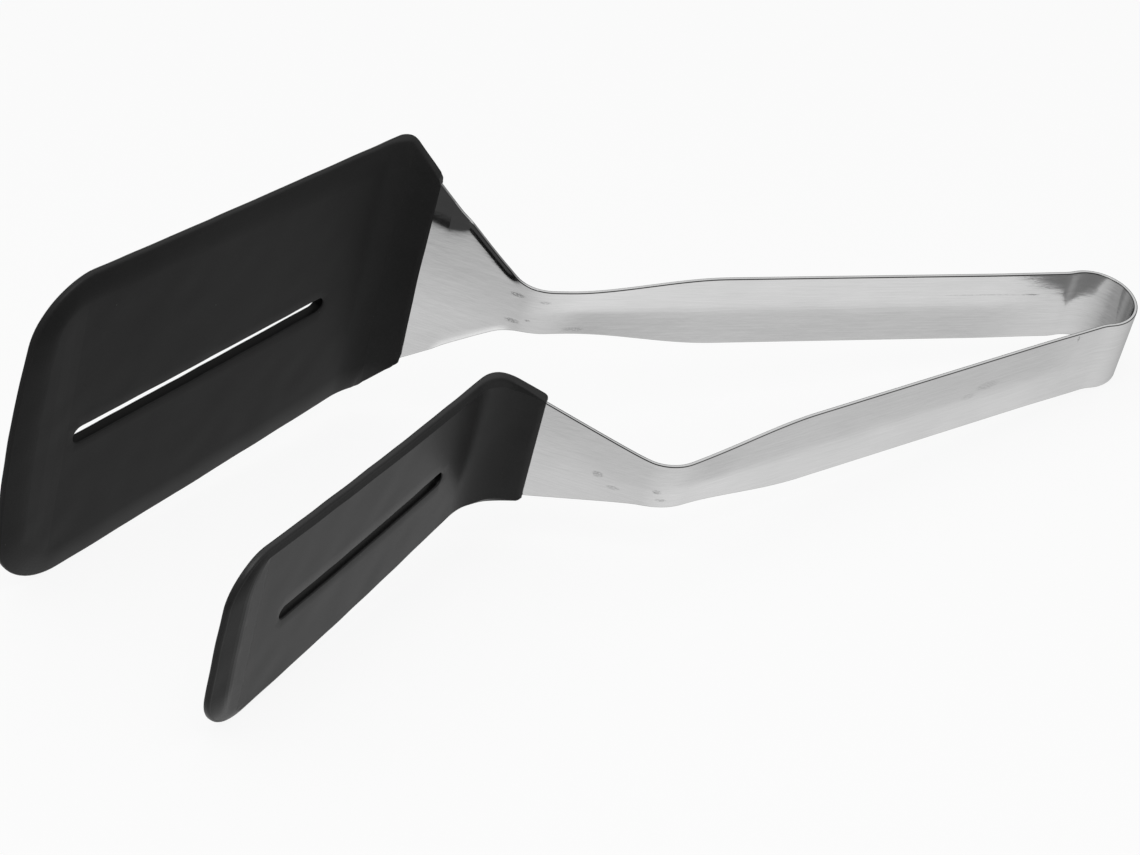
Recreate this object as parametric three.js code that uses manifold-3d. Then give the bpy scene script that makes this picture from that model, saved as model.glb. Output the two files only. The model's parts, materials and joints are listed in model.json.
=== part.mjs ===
// Spatula tongs: one sprung steel strip, bent into a keyhole bow and two cranked arms, with a wide and a
// narrow silicone blade moulded over its ends. The tongs lie on their long edges, as they do on a table.
import * as THREE from 'three';
import { mergeVertices } from 'three/addons/utils/BufferGeometryUtils.js';
import Module from 'manifold-3d';

// Sizes in millimetres and angles in degrees

// The steel strip
const steelThickness = 1;
const gripWidth = 22;
const gripArch = 0.9; // how far the middle of a handle stands out past its edges
const archMiddle = 0.68; // share of the arch that lies outside the line on which the arm is bent
const waistWidth = 13.4; // the narrowest place, just behind the neck
const waistTaper = 42.4; // length of the taper from the grip to the waist
const flareBlend = 3.7; // softness of the turn from the waist into the fan

// The keyhole bow, measured on the middle of the steel
const bowRadius = 12.44;
const throatWidth = 20.86; // between the two handle lines, level with the bow's centre
const throatRadius = 6; // the reverse curve that leads from the bow into a handle
const neckRadius = 13.7;

// The moulded blades
const plateauThickness = 3.1;
const edgeThickness = 1.9;
const edgeRounding = 0.45;
const mouthLip = 1.2; // silicone past the steel's edge where the steel goes in
const slotWeb = 1.7; // silicone between a slot and the steel round it
const seatGap = 0.3; // between the steel and the silicone moulded round it, and where the strip is divided
const coreSideMargin = 0.6; // from the foot of a bevel in to the edge of the hidden steel
const keyingRadius = 2.5; // holes in the hidden steel that the silicone runs through
const keyingInset = 7; // from the hidden steel's side, and from the bend, to the middle of a keying hole
const coreCornerRadius = 8;

// Lengths along an arm are measured from the middle of its neck bend, on the flat strip
const wideArm = {
  side: -1,
  handleSpread: 9.33, // the handle's angle to the middle line at rest
  handleLength: 151.03, // from the bow's centre to the corner of the neck
  waistSetback: 8.1, // from the waist to the middle of the neck bend
  fanAngle: -40.45, // direction of the fan, from the middle line
  fanLength: 42.71, // between the corners of the neck and of the blade bend
  fanFlare: 0.87, // how fast each edge of the fan spreads
  fanStart: 5.8,
  bladeAngle: 23.7,
  bendRadius: 4.5,
  mouth: 32.4,
  shoulder: 40.9, // where the blade reaches its full width
  front: 169.1,
  shoulderWidth: 83.2,
  frontWidth: 100,
  shoulderBlend: 1.3,
  frontBow: 4.2, // how far the middle of the front edge stands out
  upperCorner: 15.6, // radius of the front corner on the upper edge
  lowerCorner: 19,
  sideBevel: 8.6,
  frontBevel: 8.2,
  slotStart: 64.7,
  slotLength: 87.8,
  slotWidth: 5.9,
  slotOffset: -2.4, // the slot's middle line, from the middle of the blade
  keyingHoles: 5,
};
const narrowArm = {
  side: 1,
  handleSpread: 9.68,
  handleLength: 145.9,
  waistSetback: 1.7,
  fanAngle: -37,
  fanLength: 48.45,
  fanFlare: 0.3,
  fanStart: 5.35,
  bladeAngle: 32.4,
  bendRadius: 8,
  mouth: 35.25,
  shoulder: 47.15,
  front: 158.15,
  shoulderWidth: 43.2,
  frontWidth: 56.3,
  shoulderBlend: 0.6,
  frontBow: 1.1,
  upperCorner: 12.2,
  lowerCorner: 14,
  sideBevel: 2,
  frontBevel: 8.7,
  slotStart: 67.15,
  slotLength: 68.9,
  slotWidth: 4.1,
  slotOffset: -0.2,
  keyingHoles: 4,
};

// Fineness of the facets
const gripColumns = 4;
const bowStep = 8; // degrees of bow for each facet
const bendFacets = 6;
const cornerFacets = 8;
const frontFacets = 5;
const roundFacets = 12;

const radians = THREE.MathUtils.degToRad;
const { lerp, smoothstep } = THREE.MathUtils;

const wasm = await Module();
wasm.setup();

// A run of straight pieces and arcs in the XY plane, measured along its length
class CentreLine {
  constructor(x, y, heading) {
    this.pieces = [];
    this.end = { x, y, heading };
    this.length = 0;
  }

  add(length, curvature) {
    this.pieces.push({ ...this.end, start: this.length, curvature });
    this.length += length;
    this.end = this.at(this.length);
    return this;
  }

  run(length) {
    return this.add(length, 0);
  }

  turn(radius, angle) {
    return this.add(radius * Math.abs(angle), Math.sign(angle) / radius);
  }

  at(distance) {
    const piece = this.pieces.findLast((p) => p.start <= distance) ?? this.pieces[0];
    const along = distance - piece.start;
    const heading = piece.heading + piece.curvature * along;
    if (piece.curvature === 0) {
      const x = piece.x + along * Math.cos(heading);
      return { x, y: piece.y + along * Math.sin(heading), heading };
    }
    const x = piece.x + (Math.sin(heading) - Math.sin(piece.heading)) / piece.curvature;
    const y = piece.y - (Math.cos(heading) - Math.cos(piece.heading)) / piece.curvature;
    return { x, y, heading };
  }
}

// The smaller of two values, with a soft turn where they cross
function softMin(a, b, blend) {
  return (a + b - Math.hypot(a - b, blend)) / 2;
}

function spaced(from, to, count) {
  return Array.from({ length: count + 1 }, (_, i) => lerp(from, to, i / count));
}

// One arm of the strip from the back of the bow to the blade's front, with its outlines on the flat strip
class Arm {
  constructor(sizes) {
    Object.assign(this, sizes);
    const spread = this.side * radians(this.handleSpread);
    const fan = radians(this.fanAngle);
    const blade = radians(this.bladeAngle);
    const throat = Math.acos((throatWidth / 2 + throatRadius) / (bowRadius + throatRadius));
    const throatRun = (bowRadius + throatRadius) * Math.sin(throat);
    const neckRun = neckRadius * Math.tan(Math.abs(fan - spread) / 2);
    const bendRun = this.bendRadius * Math.tan(Math.abs(blade - fan) / 2);
    const bowTurn = Math.PI / 2 - Math.abs(spread) + throat;
    this.line = new CentreLine(-bowRadius, 0, this.side * Math.PI / 2);
    this.line.turn(bowRadius, -this.side * bowTurn);
    this.bowEnd = this.line.length;
    this.line.turn(throatRadius, this.side * throat);
    this.gripStart = this.line.length;
    this.line.run(this.handleLength - throatRun - neckRun);
    this.neckStart = this.line.length;
    this.line.turn(neckRadius, fan - spread);
    this.neckEnd = this.line.length;
    this.neck = (this.neckStart + this.neckEnd) / 2;
    this.waist = this.neck - this.waistSetback;
    this.taperStart = this.waist - waistTaper;
    this.line.run(this.fanLength - neckRun - bendRun);
    this.bendStart = this.line.length;
    this.line.turn(this.bendRadius, blade - fan);
    this.bendEnd = this.line.length;
    this.line.run(this.neck + this.front + this.frontBow - this.bendEnd);
  }

  // A place on the bent strip: along the arm, up across its width, and out from its middle surface
  place(along, up, out) {
    const { x, y, heading } = this.line.at(along);
    return new THREE.Vector3(
      x - this.side * out * Math.sin(heading),
      y + this.side * out * Math.cos(heading),
      up,
    );
  }

  // Half the steel's width, from the grip through the waist and the fan
  steelHalf(along) {
    const s = along - this.neck;
    const taper = smoothstep(along, this.taperStart, this.waist);
    const x = s - this.fanStart;
    const flare = (this.fanFlare * (x + Math.hypot(x, flareBlend))) / 2;
    return lerp(gripWidth, waistWidth, taper) / 2 + flare * taper;
  }

  // The arch across the handle, which fades out towards the bow and the waist
  arch(along) {
    const start = smoothstep(along, this.gripStart, this.gripStart + gripWidth);
    return gripArch * start * (1 - smoothstep(along, this.taperStart, this.waist));
  }

  // The straight side of the blade, as half widths
  sideHalf(s) {
    const slope = (this.frontWidth - this.shoulderWidth) / 2 / (this.front - this.shoulder);
    return this.shoulderWidth / 2 + slope * (s - this.shoulder);
  }

  // Half the blade's width before its front corner
  bladeHalf(s) {
    const mouthHalf = this.steelHalf(this.neck + this.mouth) + mouthLip;
    const slope = (this.shoulderWidth / 2 - mouthHalf) / (this.shoulder - this.mouth);
    return softMin(mouthHalf + slope * (s - this.mouth), this.sideHalf(s), this.shoulderBlend);
  }

  // Half the width of the hidden steel
  coreHalf(s) {
    const side = this.sideHalf(s) - this.sideBevel - coreSideMargin;
    return softMin(this.steelHalf(this.neck + s), side, flareBlend);
  }

  get coreFront() {
    return this.front - this.frontBevel - coreSideMargin;
  }

  // Distances along the arm for the facets of the steel, from the grip to the front of the hidden steel
  steelStations() {
    return [
      ...spaced(this.gripStart + seatGap, this.gripStart + gripWidth, 3),
      ...spaced(this.taperStart, this.neckStart, 8),
      ...spaced(this.neckStart, this.neckEnd, bendFacets),
      ...spaced(this.neckEnd, this.neck + this.mouth, 5),
      ...spaced(this.bendStart, this.bendEnd, bendFacets),
      this.neck + this.coreFront - coreCornerRadius,
    ];
  }
}

// A closed skin that is put together from points, strips and flat fills
class Skin {
  constructor() {
    this.points = [];
    this.triangles = [];
  }

  add(point) {
    return this.points.push(point) - 1;
  }

  quad(a, b, c, d) {
    this.triangles.push(a, b, c, a, c, d);
  }

  // Fills the outline with the given flat places, turning each triangle the same way
  fill(indices, flat, direction) {
    for (const face of THREE.ShapeUtils.triangulateShape(flat, [])) {
      const [a, b, c] = face.map((i) => flat[i]);
      const area = (b.x - a.x) * (c.y - a.y) - (c.x - a.x) * (b.y - a.y);
      const order = area * direction > 0 ? [0, 1, 2] : [0, 2, 1];
      this.triangles.push(...order.map((i) => indices[face[i]]));
    }
  }

  geometry() {
    const geometry = new THREE.BufferGeometry().setFromPoints(this.points);
    geometry.setIndex(this.triangles);
    return geometry;
  }
}

// The solid inside a closed geometry, whichever way its faces were wound
function toSolid(geometry) {
  const bare = new THREE.BufferGeometry();
  bare.setAttribute('position', geometry.getAttribute('position').clone());
  if (geometry.index) bare.setIndex(geometry.index.clone());
  const merged = mergeVertices(bare, 1e-4);
  const places = merged.getAttribute('position');
  const corners = Array.from({ length: places.count }, (_, i) => (
    new THREE.Vector3().fromBufferAttribute(places, i)
  ));
  const triangles = [...merged.index.array];
  let volume = 0;
  for (let i = 0; i < triangles.length; i += 3) {
    const [a, b, c] = triangles.slice(i, i + 3).map((k) => corners[k]);
    volume += a.dot(new THREE.Vector3().crossVectors(b, c));
  }
  if (volume < 0) triangles.reverse();
  return new wasm.Manifold(new wasm.Mesh({
    numProp: 3,
    vertProperties: new Float32Array(places.array),
    triVerts: new Uint32Array(triangles),
  }));
}

function toGeometry(solid) {
  const mesh = solid.getMesh();
  const geometry = new THREE.BufferGeometry();
  geometry.setAttribute('position', new THREE.BufferAttribute(mesh.vertProperties, 3));
  geometry.setIndex(new THREE.BufferAttribute(mesh.triVerts, 1));
  return geometry;
}

// A strip lofted through sections: each has its place on the arm, half width, arch and half thickness
function lofted(sections, columns) {
  const skin = new Skin();
  const rings = sections.map(({ arm, along, half, arch, thick }) => {
    const outer = spaced(half, -half, columns).map((up) => {
      const rise = arch * (archMiddle - (up / half) ** 2);
      return [arm.place(along, up, rise + thick), arm.place(along, up, rise - thick)];
    });
    const loop = [...outer.map(([out]) => out), ...outer.reverse().map(([, inside]) => inside)];
    return loop.map((point) => skin.add(point));
  });
  const count = rings[0].length;
  for (let r = 0; r + 1 < rings.length; r++) {
    for (let i = 0; i < count; i++) {
      const next = (i + 1) % count;
      skin.quad(rings[r][i], rings[r][next], rings[r + 1][next], rings[r + 1][i]);
    }
  }
  const [first, last] = [rings[0], rings.at(-1)];
  for (let i = 0; i + 1 < count / 2; i++) {
    const facing = count - 1 - i;
    skin.quad(first[i], first[facing], first[facing - 1], first[i + 1]);
    skin.quad(last[i], last[i + 1], last[facing - 1], last[facing]);
  }
  return toSolid(skin.geometry());
}

// The sections of an arm's steel at the given distances, grown by a gap on every side
function steelSections(arm, stations, grow) {
  return stations.map((along) => ({
    arm,
    along,
    half: Math.min(arm.steelHalf(along), coreLimit(arm, along)) + grow,
    arch: arm.arch(along),
    thick: steelThickness / 2 + grow,
  }));
}

function coreLimit(arm, along) {
  return along > arm.neckEnd ? arm.coreHalf(along - arm.neck) : Infinity;
}

// The rounded front end of the hidden steel
function coreCorner(arm, grow) {
  const start = arm.neck + arm.coreFront - coreCornerRadius;
  const radius = coreCornerRadius + grow;
  return spaced(0, Math.PI / 2, cornerFacets).slice(1).map((angle) => ({
    arm,
    along: start + radius * Math.sin(angle),
    half: coreLimit(arm, start) + grow - radius * (1 - Math.cos(angle)),
    arch: 0,
    thick: steelThickness / 2 + grow,
  }));
}

// A round-ended bar square to the blade, through both of its faces
function slotBar(arm, from, length, radius, offset) {
  const depth = 2 * plateauThickness;
  const outline = new THREE.Shape();
  const [back, front] = [from + radius, from + length - radius];
  outline.absarc(back, offset, radius, Math.PI / 2, 1.5 * Math.PI, false);
  outline.absarc(front, offset, radius, -Math.PI / 2, Math.PI / 2, false);
  const options = { depth, bevelEnabled: false, curveSegments: roundFacets / 2 };
  return standing(arm, new THREE.ExtrudeGeometry(outline, options), depth);
}

function roundBar(arm, s, up, radius) {
  const depth = 2 * plateauThickness;
  const outline = new THREE.Shape().absarc(s, up, radius, 0, 2 * Math.PI, false);
  const options = { depth, bevelEnabled: false, curveSegments: roundFacets };
  return standing(arm, new THREE.ExtrudeGeometry(outline, options), depth);
}

// Stands a flat drawing's extrusion on the arm, half of its depth on each side of the steel
function standing(arm, geometry, depth) {
  const places = geometry.getAttribute('position');
  for (let i = 0; i < places.count; i++) {
    const point = arm.place(arm.neck + places.getX(i), places.getY(i), places.getZ(i) - depth / 2);
    places.setXYZ(i, point.x, point.y, point.z);
  }
  return toSolid(geometry);
}

// What fills the holes of the hidden steel: the web round the slot and the keying pins
function keyingBars(arm, shrink) {
  const web = slotWeb + seatGap - shrink;
  const bars = [slotBar(
    arm,
    arm.slotStart - web,
    arm.slotLength + 2 * web,
    arm.slotWidth / 2 + web,
    arm.slotOffset,
  )];
  const [back, front] = [arm.bendEnd - arm.neck + keyingInset, arm.coreFront - coreCornerRadius];
  for (const s of spaced(back, front, arm.keyingHoles - 1)) {
    const up = arm.coreHalf(s) - keyingInset;
    for (const side of [1, -1]) bars.push(roundBar(arm, s, side * up, keyingRadius - shrink));
  }
  return bars;
}

function cut(solid, tools) {
  return tools.reduce((left, tool) => left.subtract(tool), solid);
}

// An arm of the strip: handle, waist, neck and fan, and the perforated plate hidden in the blade
function armSteel(arm) {
  const sections = [...steelSections(arm, arm.steelStations(), 0), ...coreCorner(arm, 0)];
  return cut(lofted(sections, gripColumns), keyingBars(arm, 0));
}

// The room for the hidden steel inside the blade, open at the mouth
function steelRoom(arm) {
  const outside = arm.neck + arm.mouth - 2 * mouthLip;
  const stations = [outside, ...arm.steelStations().filter((s) => s > arm.neck + arm.mouth - 1e-6)];
  const sections = [...steelSections(arm, stations, seatGap), ...coreCorner(arm, seatGap)];
  return cut(lofted(sections, gripColumns), keyingBars(arm, seatGap));
}

// The bow, as one band from handle to handle
function bowSteel(wide, narrow) {
  const steps = Math.round((wide.bowEnd / bowRadius) / radians(bowStep));
  const half = (arm) => [
    ...spaced(0, arm.bowEnd, steps),
    ...spaced(arm.bowEnd, arm.gripStart, bendFacets / 2).slice(1),
  ].map((along) => ({ arm, along, half: gripWidth / 2, arch: 0, thick: steelThickness / 2 }));
  return lofted([...half(wide).reverse(), ...half(narrow).slice(1)], 1);
}

// One half of the blade's outline on the flat strip, from the mouth round the corner to the middle of the
// front, set in from its side and its front
function halfOutline(arm, cornerRadius, sideInset, frontInset, mouthInset) {
  const tilt = Math.atan2(arm.frontWidth - arm.shoulderWidth, 2 * (arm.front - arm.shoulder));
  const centre = arm.front - cornerRadius;
  const centreUp = arm.sideHalf(centre) - cornerRadius / Math.cos(tilt);
  const bow = (s, up) => [s + arm.frontBow * (1 - (2 * up / arm.frontWidth) ** 2), up];
  const bendStations = spaced(arm.bendStart, arm.bendEnd, bendFacets).map((s) => s - arm.neck);
  const stations = [
    ...spaced(arm.mouth, bendStations[0], 3),
    ...bendStations.slice(1),
    bendStations.at(-1) + arm.sideBevel,
  ];
  const half = stations.map((s) => {
    const ease = smoothstep(s, arm.mouth, arm.shoulder);
    return [s, arm.bladeHalf(s) - lerp(mouthInset, sideInset, ease)];
  });
  const corner = spaced(Math.PI / 2 + tilt, 0, cornerFacets).map((angle) => {
    const s = centre + (cornerRadius - frontInset) * Math.cos(angle);
    const up = centreUp + (cornerRadius - sideInset) * Math.sin(angle);
    return bow(s, up);
  });
  const front = spaced(centreUp, 0, frontFacets).slice(1).map((up) => bow(arm.front - frontInset, up));
  return { points: [...half, ...corner, ...front], straight: half.length };
}

// The whole outline, from the upper end of the mouth round to the lower end
function bladeOutline(arm, ...insets) {
  const upper = halfOutline(arm, arm.upperCorner, ...insets);
  const lower = halfOutline(arm, arm.lowerCorner, ...insets).points.slice(0, -1).reverse();
  return { points: [...upper.points, ...lower.map(([s, up]) => [s, -up])], straight: upper.straight };
}

// The outside of a blade: a flat plateau on each face, bevels down to a thin rounded edge, and full
// thickness at the mouth
function bladeBody(arm) {
  const edge = edgeThickness / 2;
  const rings = [
    { inset: 1, thick: plateauThickness / 2, mouthThick: plateauThickness / 2 },
    { inset: 0, thick: edge, mouthThick: plateauThickness / 2 - edgeRounding / 2, rounding: edgeRounding },
    { inset: 0, thick: edge - edgeRounding, mouthThick: plateauThickness / 2 - edgeRounding },
  ].map((ring) => {
    const side = ring.inset ? arm.sideBevel : ring.rounding ?? 0;
    const front = ring.inset ? arm.frontBevel : ring.rounding ?? 0;
    const mouth = ring.inset ? mouthLip / 2 : (ring.rounding ?? 0) / 2;
    return { ...ring, outline: bladeOutline(arm, side, front, mouth) };
  });
  const { straight } = rings[0].outline;
  const last = rings[0].outline.points.length - 1;
  const skin = new Skin();
  const row = ({ outline, thick, mouthThick }, face) => outline.points.map(([s, up]) => {
    const ease = smoothstep(s, arm.mouth, arm.shoulder);
    return skin.add(arm.place(arm.neck + s, up, face * lerp(mouthThick, thick, ease)));
  });
  const rows = [...rings.map((ring) => row(ring, 1)), ...rings.toReversed().map((ring) => row(ring, -1))];
  for (let r = 0; r + 1 < rows.length; r++) {
    for (let k = 0; k < last; k++) {
      skin.quad(rows[r][k], rows[r][k + 1], rows[r + 1][k + 1], rows[r + 1][k]);
    }
  }
  const flat = rings[0].outline.points.map(([s, up]) => new THREE.Vector2(s, up));
  for (const [face, direction] of [[rows[0], 1], [rows.at(-1), -1]]) {
    for (let k = 0; k + 1 < straight; k++) {
      const corners = [face[last - k], face[last - k - 1], face[k + 1], face[k]];
      skin.quad(...(direction > 0 ? corners : corners.reverse()));
    }
    const kept = spaced(straight - 1, last - straight + 1, last - 2 * straight + 2).map(Math.round);
    skin.fill(kept.map((k) => face[k]), kept.map((k) => flat[k]), direction);
  }
  const mouthRows = [...rows.map((r) => r[0]), ...rows.toReversed().map((r) => r[last])];
  const mouthRing = [...rings, ...rings.toReversed()];
  const mouthFlat = [...mouthRing.keys()].map((i) => new THREE.Vector2(
    mouthRing[i].outline.points[0][1],
    (i < rings.length ? 1 : -1) * mouthRing[i].mouthThick,
  ));
  const mirrored = mouthFlat.toReversed().map(({ x, y }) => new THREE.Vector2(-x, y));
  skin.fill(mouthRows, [...mouthFlat, ...mirrored], -1);
  return toSolid(skin.geometry());
}

function bladeSilicone(arm) {
  const slot = slotBar(arm, arm.slotStart, arm.slotLength, arm.slotWidth / 2, arm.slotOffset);
  return cut(bladeBody(arm), [steelRoom(arm), slot]);
}

// The turn that brings three places on the lower edges down to one level
function restingTurn(groups) {
  let up = new THREE.Vector3(0, 0, 1);
  for (let pass = 0; pass < 12; pass++) {
    const feet = groups.map((points) => points.reduce((a, b) => (b.dot(up) < a.dot(up) ? b : a)));
    const [across, along] = [feet[1].clone().sub(feet[0]), feet[2].clone().sub(feet[0])];
    up = new THREE.Vector3().crossVectors(across, along).normalize();
    if (up.z < 0) up.negate();
  }
  const forward = new THREE.Vector3(1, 0, 0).projectOnPlane(up).normalize();
  const left = new THREE.Vector3().crossVectors(up, forward);
  return new THREE.Matrix4().makeBasis(forward, left, up).transpose();
}

function pointsOf(mesh) {
  const places = mesh.geometry.getAttribute('position');
  return Array.from({ length: places.count }, (_, i) => new THREE.Vector3().fromBufferAttribute(places, i));
}

const satinSteel = { color: 0xc9c9c8, roughness: 0.3, metalness: 1 };
const blackSilicone = { color: 0x2e2e2f, roughness: 0.62, metalness: 0 };

function piece(name, solid, finish) {
  const mesh = new THREE.Mesh(toGeometry(solid), new THREE.MeshStandardMaterial(finish));
  mesh.name = name;
  return mesh;
}

const wide = new Arm(wideArm);
const narrow = new Arm(narrowArm);

const springBow = piece('spring_bow', bowSteel(wide, narrow), satinSteel);
const wideBlade = piece('wide_blade', bladeSilicone(wide), blackSilicone);
const narrowBlade = piece('narrow_blade', bladeSilicone(narrow), blackSilicone);
const tongs = new THREE.Group();
tongs.add(
  springBow,
  piece('wide_arm', armSteel(wide), satinSteel),
  piece('narrow_arm', armSteel(narrow), satinSteel),
  wideBlade,
  narrowBlade,
);

// The tongs rest on the bow and on the lower front corner of each blade
tongs.setRotationFromMatrix(restingTurn([springBow, wideBlade, narrowBlade].map(pointsOf)));

// The origin is under the middle of the tongs, on the table
const extent = new THREE.Box3().setFromObject(tongs, true);
const middle = extent.getCenter(new THREE.Vector3());
tongs.position.set(-middle.x, -middle.y, -extent.min.z);
tongs.updateMatrixWorld(true);

export default tongs;
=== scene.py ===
"""Spatula tongs: one sprung steel strip with a wide and a narrow silicone blade moulded over its ends.

Shapes are worked out in the strip's own frame, in millimetres: X from the bow along the middle line, Y from
the wide arm to the narrow arm, Z across the strip's width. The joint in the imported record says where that
frame lies. Along an arm, s is the distance from the middle of its neck bend on the flat strip.
"""

import json
import logging
from dataclasses import dataclass
from enum import Enum
from math import acos, atan2, ceil, copysign, cos, hypot, inf, pi, radians, sin, sqrt, tan

import bmesh
import bpy
from mathutils import Matrix, Vector, noise
from mathutils.geometry import delaunay_2d_cdt


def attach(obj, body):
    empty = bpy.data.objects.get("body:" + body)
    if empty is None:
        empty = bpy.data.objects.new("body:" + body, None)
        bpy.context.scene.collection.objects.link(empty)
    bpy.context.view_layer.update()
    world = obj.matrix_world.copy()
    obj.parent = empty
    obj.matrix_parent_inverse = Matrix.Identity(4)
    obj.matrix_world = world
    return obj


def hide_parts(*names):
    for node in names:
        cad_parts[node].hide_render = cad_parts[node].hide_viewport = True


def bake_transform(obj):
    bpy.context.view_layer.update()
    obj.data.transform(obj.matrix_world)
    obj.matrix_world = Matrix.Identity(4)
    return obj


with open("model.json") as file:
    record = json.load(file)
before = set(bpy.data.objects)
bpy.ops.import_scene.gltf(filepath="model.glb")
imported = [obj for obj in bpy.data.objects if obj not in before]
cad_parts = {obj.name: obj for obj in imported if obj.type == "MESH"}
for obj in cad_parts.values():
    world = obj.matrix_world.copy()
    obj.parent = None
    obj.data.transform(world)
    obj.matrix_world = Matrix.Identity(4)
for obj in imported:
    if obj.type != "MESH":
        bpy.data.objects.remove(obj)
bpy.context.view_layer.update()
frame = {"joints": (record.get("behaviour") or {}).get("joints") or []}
LOG = logging.getLogger("tongs")
MM = 0.001
PLATEAU = 20.0
"""The rim distance that every point of a blade's plateau gets."""
SLOT_WALL = -2.0
# The rim distance by which the walls of a blade's slot are told apart, for the painted shade on them.
"""The rim distance by which the walls of a blade's slot are told apart."""
Flat = tuple[float, float]
Triple = tuple[float, float, float]


def smooth(x: float, start: float, end: float) -> float:
    """A soft step from 0 at start to 1 at end."""
    t = min(max((x - start) / (end - start), 0.0), 1.0)
    return t * t * (3 - 2 * t)


def mixed(a: float, b: float, t: float) -> float:
    """The value that lies t of the way from a to b."""
    return a + (b - a) * t


def soft_min(a: float, b: float, blend: float) -> float:
    """The smaller of two values, with a soft turn where they cross."""
    return (a + b - hypot(a - b, blend)) / 2


def ridged(share: float, softness: float) -> float:
    """The fall of an arch from its middle, 0, to its edges, 1: two flat flanks with a soft ridge between them."""
    return (hypot(share, softness) - softness) / (hypot(1, softness) - softness)


def spaced(start: float, end: float, count: int) -> list[float]:
    """Evenly spaced values from start to end in count steps, with both ends included."""
    return [mixed(start, end, i / count) for i in range(count + 1)]


def stepped(start: float, end: float, step: float) -> list[float]:
    """Evenly spaced values no further apart than step."""
    return spaced(start, end, max(1, ceil(abs(end - start) / step)))


def turned(x: Vector, z: Vector) -> Matrix:
    """The turn that brings X and Z into two directions at right angles."""
    return Matrix((x, z.cross(x), z)).transposed().to_4x4()


def strip_frame() -> Matrix:
    """The strip's frame in the row frame, in metres, from the joint on the bow's middle."""
    joint = frame["joints"][0]
    up = -Vector(joint["axis"]).normalized()
    forward = Vector((0, 1, 0)).cross(up).normalized()
    return Matrix.Translation(Vector(joint["pos_m"])) @ turned(forward, up)


STRIP = strip_frame()


def placed(name: str, data: bpy.types.ID) -> bpy.types.Object:
    """A new object in the scene, for a mesh, a lamp or a camera."""
    made = bpy.data.objects.new(name, data)
    bpy.context.scene.collection.objects.link(made)
    return made


class Body(Enum):
    """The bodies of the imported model."""

    WIDE = "wide_side"
    NARROW = "narrow_side"


@dataclass(frozen=True)
class Gauge:
    """Sizes that both arms share, in millimetres."""

    steel: float = 1.0
    steel_rounding: float = 0.3
    grip_width: float = 22.0
    grip_arch: float = 0.9
    arch_middle: float = 0.68
    grip_ridge: float = 0.12
    grip_fade: float = 14.0
    fan_ridge: float = 0.6
    roll_width: float = 1.7
    roll_start: Flat = (1.0, 6.0)
    roll_end: Flat = (21.0, 25.0)
    roll_power: float = 1.5
    waist_width: float = 13.4
    waist_taper: float = 42.4
    flare_blend: float = 3.7
    bow_back: float = 12.44
    throat_width: float = 20.86
    throat_radius: float = 15.0
    neck_radius: float = 13.7
    plateau: float = 3.1
    edge: float = 1.9
    edge_rounding: float = 0.65
    mouth_lip: float = 1.2


class CentreLine:
    """A run of straight pieces and arcs in the strip's XY plane, measured along its length."""

    def __init__(self, start: Triple) -> None:
        """Starts the line at an x, a y and a heading in radians."""
        self.pieces: list[tuple[float, float, float, float, float]] = []
        self.end = start
        self.length = 0.0

    def add(self, length: float, curvature: float) -> None:
        """Adds a piece of one curvature, in radians for each millimetre."""
        self.pieces.append((*self.end, self.length, curvature))
        self.length += length
        self.end = self.at(self.length)

    def turn(self, radius: float, angle: float) -> None:
        """Adds an arc."""
        self.add(radius * abs(angle), copysign(1 / radius, angle))

    def at(self, distance: float) -> Triple:
        """The point and heading at a distance along the line."""
        before = [p for p in self.pieces if p[3] <= distance]
        x, y, heading, start, curvature = before[-1] if before else self.pieces[0]
        along = distance - start
        turned = heading + curvature * along
        if curvature == 0:
            return x + along * cos(turned), y + along * sin(turned), turned
        return (
            x + (sin(turned) - sin(heading)) / curvature,
            y - (cos(turned) - cos(heading)) / curvature,
            turned,
        )


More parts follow.
